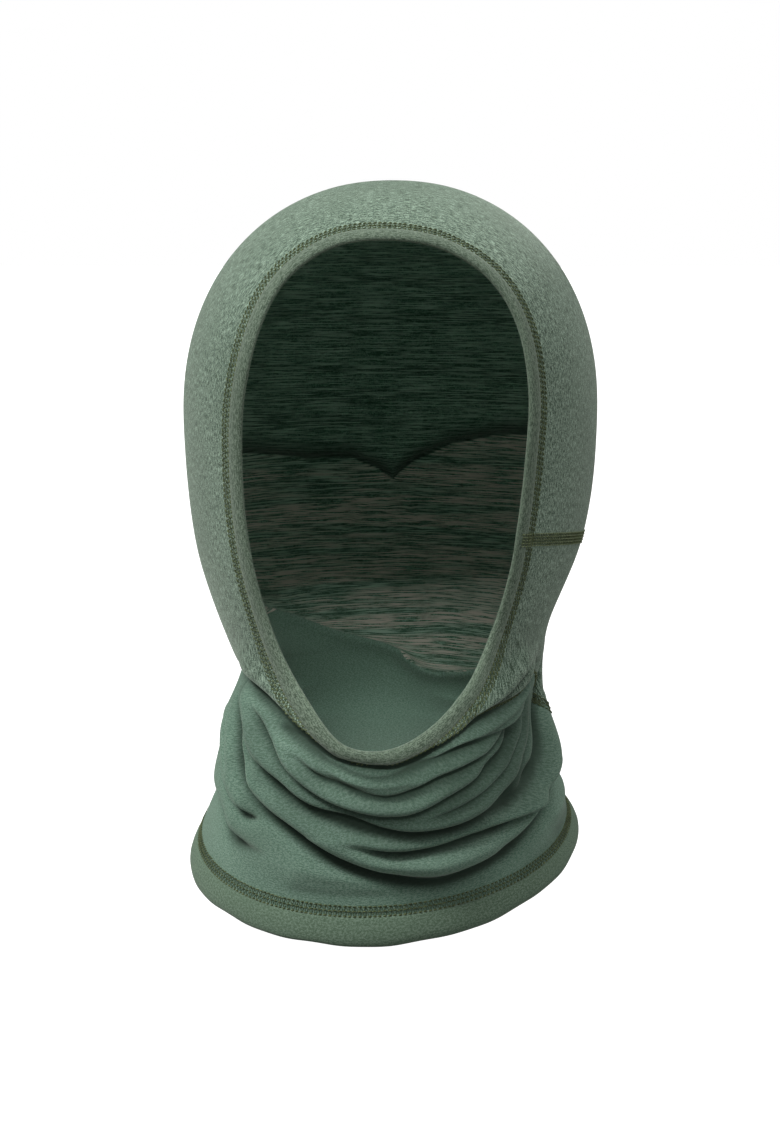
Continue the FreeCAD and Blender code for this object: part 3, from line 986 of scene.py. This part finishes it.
OUTSIDE = jersey("jersey_outside", (0.017, 0.041, 0.020), (0.108, 0.173, 0.124),
                 (0.325, 0.435, 0.335), grain=0.8, along=400, soft=0.8)
NECK_OUT = jersey("jersey_neck", (0.092, 0.166, 0.116), (0.138, 0.228, 0.170), (0.20, 0.30, 0.235),
                  slub=0.4, grain=0.6, along=700, soft=0.5)
HEM_OUT = jersey("jersey_hem", (0.078, 0.125, 0.08), (0.112, 0.170, 0.116), (0.155, 0.222, 0.16),
                 slub=0.3, grain=0.6, along=900, soft=0.4)
INSIDE = jersey("jersey_inside", (0.115, 0.205, 0.15), (0.16, 0.27, 0.20), (0.21, 0.33, 0.255),
                grain=0.6, along=1000)
NAPE_INSIDE = jersey("jersey_nape_inside", (0.04, 0.12, 0.07), (0.10, 0.22, 0.145),
                     (0.22, 0.38, 0.28), slub=0.7, streaks=nape_slubs_and_painted_light)
EDGE = jersey("jersey_folded_edge", (0.045, 0.07, 0.045), (0.098, 0.138, 0.096),
              (0.165, 0.215, 0.16), grain=0.8, along=500, soft=0.7)
THREAD = thread_material("thread_olive", (0.052, 0.074, 0.028), (0.15, 0.19, 0.078))
THREAD_PALE = thread_material("thread_olive_pale", (0.12, 0.155, 0.075), (0.26, 0.31, 0.17))
THREAD_DEEP = thread_material("thread_olive_deep", (0.05, 0.072, 0.034), (0.115, 0.15, 0.072))


# -------- the pieces
def panel(*fields):
    """What is left of the whole surface where none of the fields is below zero."""
    sheet = Sheet(COLUMNS, SHEET_RUNS)
    for field in fields:
        sheet.keep(field)
    return sheet


def minus(field):
    return lambda angle, run: -field(angle, run)


front_sheet = panel(lambda angle, run: outside_rim(angle, run) - BINDING_GRIP,
                    minus(behind_back_seam), above_neck_seam)
back_sheet = panel(behind_back_seam, above_neck_seam)
neck_sheet = panel(minus(above_neck_seam), lambda angle, run: HEM_RUN - HEM_GRIP - run)
front = cloth_piece("front_hood", front_sheet, OUTSIDE, INSIDE, strip_place)
back = cloth_piece("back_head", back_sheet, OUTSIDE, NAPE_INSIDE, back_place)
neck = cloth_piece("neck_tube", neck_sheet, NECK_OUT, INSIDE, tube_place)

# The binding, as points of its section: distance from the rim over the fabric, height over it.
BINDING_SECTION = ((6.9, 0.05), (6.3, 0.4), (5.4, 0.72), (4.2, 0.92), (2.8, 0.95), (1.6, 0.8),
                   (0.7, 0.4), (0.12, -0.15), (0.0, -0.7), (0.2, -1.25), (0.9, -1.75), (2.2, -2.05),
                   (3.8, -2.05), (5.2, -1.9), (6.2, -1.6), (6.8, -1.05), (6.1, -1.04), (4.4, -1.04),
                   (2.4, -1.0), (1.5, -0.55), (2.4, -0.05), (4.4, 0.04), (6.1, 0.04))
BAND_UV_WIDTH = 24            # about the way round a section, so that its yarns keep their size
ROWS_FROM_RIM = (6.8, 8.7, 10.6)         # the coverstitch rows
RIGHT_SHARE = 0.16            # all that is wider on the wearer's right by this share
RIGHT_FULL_X = 55.0           # which is reached this far from the middle
RIM_ANGLE, RIM_RUN = even_line(*front_place(RIM_LINE[:, 0], RIM_LINE[:, 1]), 0.9, closed=True)
LOW_RIM_Z, LOW_RIM_SPAN, LOW_RIM_SHADE = -185.0, 30.0, 0.4    # the chin shades the binding


def band_sweep(name, section, track, material):
    """A folded band: its section goes along lines that lie side by side on the cloth."""
    rings = []
    for distance, height in section:
        points, normal = track_points(*track(distance), 0.0)
        rings.append(points + height * normal)
    return sweep(name, np.stack(rings, 1), material, BAND_UV_WIDTH)


def rim_aside(distance):
    side = np.clip(-base_point(RIM_ANGLE, RIM_RUN)[:, 0] / RIGHT_FULL_X, -0.5, 1)
    return step_aside(RIM_ANGLE, RIM_RUN, distance * (1 + RIGHT_SHARE * side), closed=True)


binding = band_sweep("face_binding_fold", BINDING_SECTION, rim_aside, EDGE)
# Painted shade on the binding's lower end, where the chin shades it.
rim_low = np.clip((LOW_RIM_Z - base_point(RIM_ANGLE, RIM_RUN)[:, 2]) / LOW_RIM_SPAN, 0, 1)
mark_points(binding, "painted_shade", np.repeat(LOW_RIM_SHADE * rim_low, len(BINDING_SECTION)))

HEM_ANGLES = np.linspace(-math.pi, math.pi, 620, endpoint=False)
WAVE_REACH = 9                # the hem's wave dies out this far above it
HEM_WAVE = (0.5 * np.sin(3 * HEM_ANGLES + 1.0) + 0.2 * np.sin(11 * HEM_ANGLES + 2.0)
            + 0.08 * np.sin(23 * HEM_ANGLES))
HEM_SECTION = ((9.2, 0.05), (8.0, 0.5), (6.0, 0.8), (3.8, 0.9), (1.8, 0.75), (0.6, 0.35),
               (0.05, -0.25), (0.0, -0.75), (0.3, -1.3), (1.2, -1.75), (3.2, -1.95), (6.0, -1.9),
               (8.4, -1.6), (9.2, -1.05), (7.6, -1.04), (4.6, -1.04), (2.2, -0.95), (1.3, -0.5),
               (2.2, -0.05), (4.6, 0.04), (7.6, 0.04))


def hem_aside(distance):
    return HEM_ANGLES, HEM_RUN - distance + HEM_WAVE * (1 - min(distance / WAVE_REACH, 1))


hem = band_sweep("hem_fold", HEM_SECTION, hem_aside, HEM_OUT)

HEM_ROWS = (9.0, 10.6, 12.2)             # above the hem's line
SEAM_ROWS = (-2.0, 0.0, 2.0)
CHEEK_ROWS = (-2.4, -1.2, 0.0, 1.2, 2.4)
CHEEK_START_X = 53.0          # the cheek seam starts on the binding
BINDING_END, BINDING_SLOPE, BINDING_LIFT = 6.2, 1.6, 0.9      # and climbs over it
SEAM_PULLED, SEAM_FREE = 74, 86          # degrees; gathered tight up to here, free from there
CLOSING_TOP_Z = -199.0        # the closing seam starts just below the neck seam
CLOSING_END = 13              # and ends this far above the hem

face_stitch = seam_band("face_coverstitch_thread", [rim_aside(d) for d in ROWS_FROM_RIM], True,
                        [THREAD, THREAD_DEEP], slant=0.9)
hem_rows = [(HEM_ANGLES, np.full(len(HEM_ANGLES), HEM_RUN - d)) for d in HEM_ROWS]
hem_stitch = seam_band("hem_coverstitch_thread", hem_rows, True, [THREAD, THREAD_DEEP], slant=0.3)

cheek_start = front_place([CHEEK_START_X], [CHEEK_SEAM_Z + CHEEK_RISE])[0][0]
cheek_depth, cheek_y = LOWER_RINGS[1][2], LOWER_RINGS[1][4]
cheek_angle = np.linspace(cheek_start, math.acos(-(BACK_SEAM_Y - cheek_y) / cheek_depth), 160)
cheek_z = CHEEK_SEAM_Z + CHEEK_RISE * np.maximum(np.cos(cheek_angle), 0) / math.cos(cheek_start)
cheek_line = even_line(cheek_angle, run_at(cheek_angle, cheek_z), 0.6)
cheek_reach = lengths_along(cloth_point(*cheek_line))
cheek_lift = 0.15 + BINDING_LIFT * np.clip((BINDING_END - cheek_reach) / BINDING_SLOPE, 0, 1)
cheek_stitch = seam_band("cheek_seam_thread", beside(*cheek_line, False, CHEEK_ROWS), False,
                         [THREAD_PALE, THREAD], pitch=1.9, thread=0.42, lift=cheek_lift)


def back_seam_track():
    """Where the upright plane of the back seam meets the cloth, over the crown from ear to ear."""
    runs = np.concatenate([np.arange(HEM_RUN, 40, -0.5), np.arange(40, 15, -0.05)])
    half_depth, mid_y = (np.interp(runs, RUN, RINGS[:, column]) for column in (2, 4))
    tilt = np.radians(np.interp(runs, RUN, RINGS[:, 5]))
    ratio = -(BACK_SEAM_Y - mid_y) / (half_depth * np.cos(tilt))
    real = ratio > -1
    angle, run = np.arccos(ratio[real]), runs[real]
    keep = above_neck_seam(angle, run) > 0
    other = above_neck_seam(-angle, run) > 0
    return (np.concatenate([angle[keep], 2 * math.pi - angle[other][::-1]]),
            np.concatenate([run[keep], run[other][::-1]]))


back_rows = beside(*even_line(*back_seam_track(), 0.8), False, SEAM_ROWS)
back_stitch = seam_band("back_seam_thread", back_rows, False, [THREAD, THREAD_DEEP])
seam_angle = np.linspace(-math.pi, math.pi, 700, endpoint=False)
seam_line = even_line(seam_angle, run_at(seam_angle, neck_seam_z(seam_angle)), 0.8, True)
seam_degrees = np.degrees((seam_line[0] + math.pi) % (2 * math.pi) - math.pi)
seam_free = np.clip((seam_degrees - SEAM_PULLED) / (SEAM_FREE - SEAM_PULLED), 0, 1)
neck_rows = beside(*seam_line, True, [row * (0.3 + 0.7 * seam_free) for row in SEAM_ROWS])
neck_stitch = seam_band("neck_seam_thread", neck_rows, True, [THREAD, THREAD_DEEP])
closing_start = run_at(np.array([math.pi]), np.array([CLOSING_TOP_Z]))[0] + 2.5
closing_runs = np.arange(closing_start, HEM_RUN - CLOSING_END, 0.8)
closing_rows = beside(np.full(len(closing_runs), math.pi), closing_runs, False, SEAM_ROWS)
closing_stitch = seam_band("neck_closing_thread", closing_rows, False, [THREAD, THREAD_DEEP])

# -------- what each piece stands for
PIECES = (
    (front, "front_hood_panel", "jersey"), (back, "back_head_panel", "jersey"),
    (neck, "neck_panel", "jersey"), (binding, "face_binding", "edge_jersey"),
    (hem, "hem_band", "edge_jersey"), (face_stitch, "face_coverstitch", "thread"),
    (hem_stitch, "hem_coverstitch", "thread"), (cheek_stitch, "cheek_seam_stitching", "thread"),
    (back_stitch, "back_seam_stitching", "thread"), (neck_stitch, "neck_seam_stitching", "thread"),
    (closing_stitch, "neck_closing_stitching", "thread"),
)
for piece, node, slot in PIECES:
    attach(piece, "root")
    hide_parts(node)


# -------- stage, lights, camera
FLOOR_HALF, FLOOR_BELOW = 30.0, 0.0005   # in metres, as everything from here on

floor_mesh = bpy.data.meshes.new("floor")
floor_mesh.from_pydata([(x * FLOOR_HALF, y * FLOOR_HALF, 0)
                        for x, y in ((-1, -1), (1, -1), (1, 1), (-1, 1))], [], [(0, 1, 2, 3)])
floor_material = bpy.data.materials.new("floor")
floor_material.use_nodes = True
floor_mesh.materials.append(floor_material)
floor = add_object("floor", floor_mesh)
floor.location.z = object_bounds()[0][2] - FLOOR_BELOW


def brighten_for_camera(tree, socket, light, seen):
    """A strength that is light for the lit cloth and seen for the camera, so that the pale stage
    doesn't wash out the shading."""
    path = tree.nodes.new("ShaderNodeLightPath")
    strength = tree.nodes.new("ShaderNodeMapRange")
    strength.inputs["To Min"].default_value = light
    strength.inputs["To Max"].default_value = seen
    tree.links.new(path.outputs["Is Camera Ray"], strength.inputs["Value"])
    tree.links.new(strength.outputs[0], socket)


floor_tree = floor_material.node_tree
floor_shader = floor_tree.nodes["Principled BSDF"]
floor_shader.inputs["Base Color"].default_value = (0.22, 0.22, 0.22, 1)
floor_shader.inputs["Roughness"].default_value = 0.9
floor_shader.inputs["Emission Color"].default_value = (1, 1, 1, 1)
brighten_for_camera(floor_tree, floor_shader.inputs["Emission Strength"], 0.0, 1.05)
world = bpy.context.scene.world or bpy.data.worlds.new("studio")
bpy.context.scene.world = world
world.use_nodes = True
sky = world.node_tree.nodes["Background"]
sky.inputs["Color"].default_value = (1, 1, 1, 1)
brighten_for_camera(world.node_tree, sky.inputs["Strength"], 0.25, 1.0)


def aim(thing, target):
    sight = Vector(target) - Vector(thing.location)
    thing.rotation_euler = sight.to_track_quat("-Z", "Y").to_euler()


def lamp(kind, name, place, target, strength, **settings):
    data = bpy.data.lights.new(name, kind)
    data.energy = strength
    for key, value in settings.items():
        setattr(data, key, value)
    made = add_object(name, data)
    made.location = place
    aim(made, target)


for name, place, strength, spread in (
        ("key", (-1.5, -0.8, 2.0), 2.7, 20), ("top", (0.2, 0.1, 2.4), 1.3, 40),
        ("side", (1.6, -0.5, 1.3), 0.5, 40)):
    lamp("SUN", name, place, (0, 0, 0), strength, angle=math.radians(spread))
# Narrow spots that light the inside of the hood.
for name, place, target, strength, width, radius in (
        ("into_hood", (0.0, -0.95, 0.80), (0.0, 0.045, -0.24), 16, 7, 0.03),
        ("to_nape", (0.0, -1.2, 0.35), (0.0, 0.06, -0.272), 80, 4.2, 0.02)):
    lamp("SPOT", name, place, target, strength, spot_size=math.radians(width), spot_blend=0.9,
         shadow_soft_size=radius)

MIDDLE = (0.0, 0.0, -0.157)
SENSOR, VIEW_ANGLE = 24, 13.17           # the sensor's height in mm, the view in degrees
camera_data = bpy.data.cameras.new("camera")
camera = add_object("camera", camera_data)
bpy.context.scene.camera = camera
AZIMUTH, ELEVATION, DISTANCE = math.radians(1.5), math.radians(4.0), 2.0
camera.location = (MIDDLE[0] + DISTANCE * math.cos(ELEVATION) * math.sin(AZIMUTH),
                   MIDDLE[1] - DISTANCE * math.cos(ELEVATION) * math.cos(AZIMUTH),
                   MIDDLE[2] + DISTANCE * math.sin(ELEVATION))
aim(camera, MIDDLE)
camera_data.sensor_fit = "VERTICAL"
camera_data.sensor_height = SENSOR
camera_data.lens = SENSOR / 2 / math.tan(math.radians(VIEW_ANGLE) / 2)
bpy.context.scene.view_settings.view_transform = "Standard"
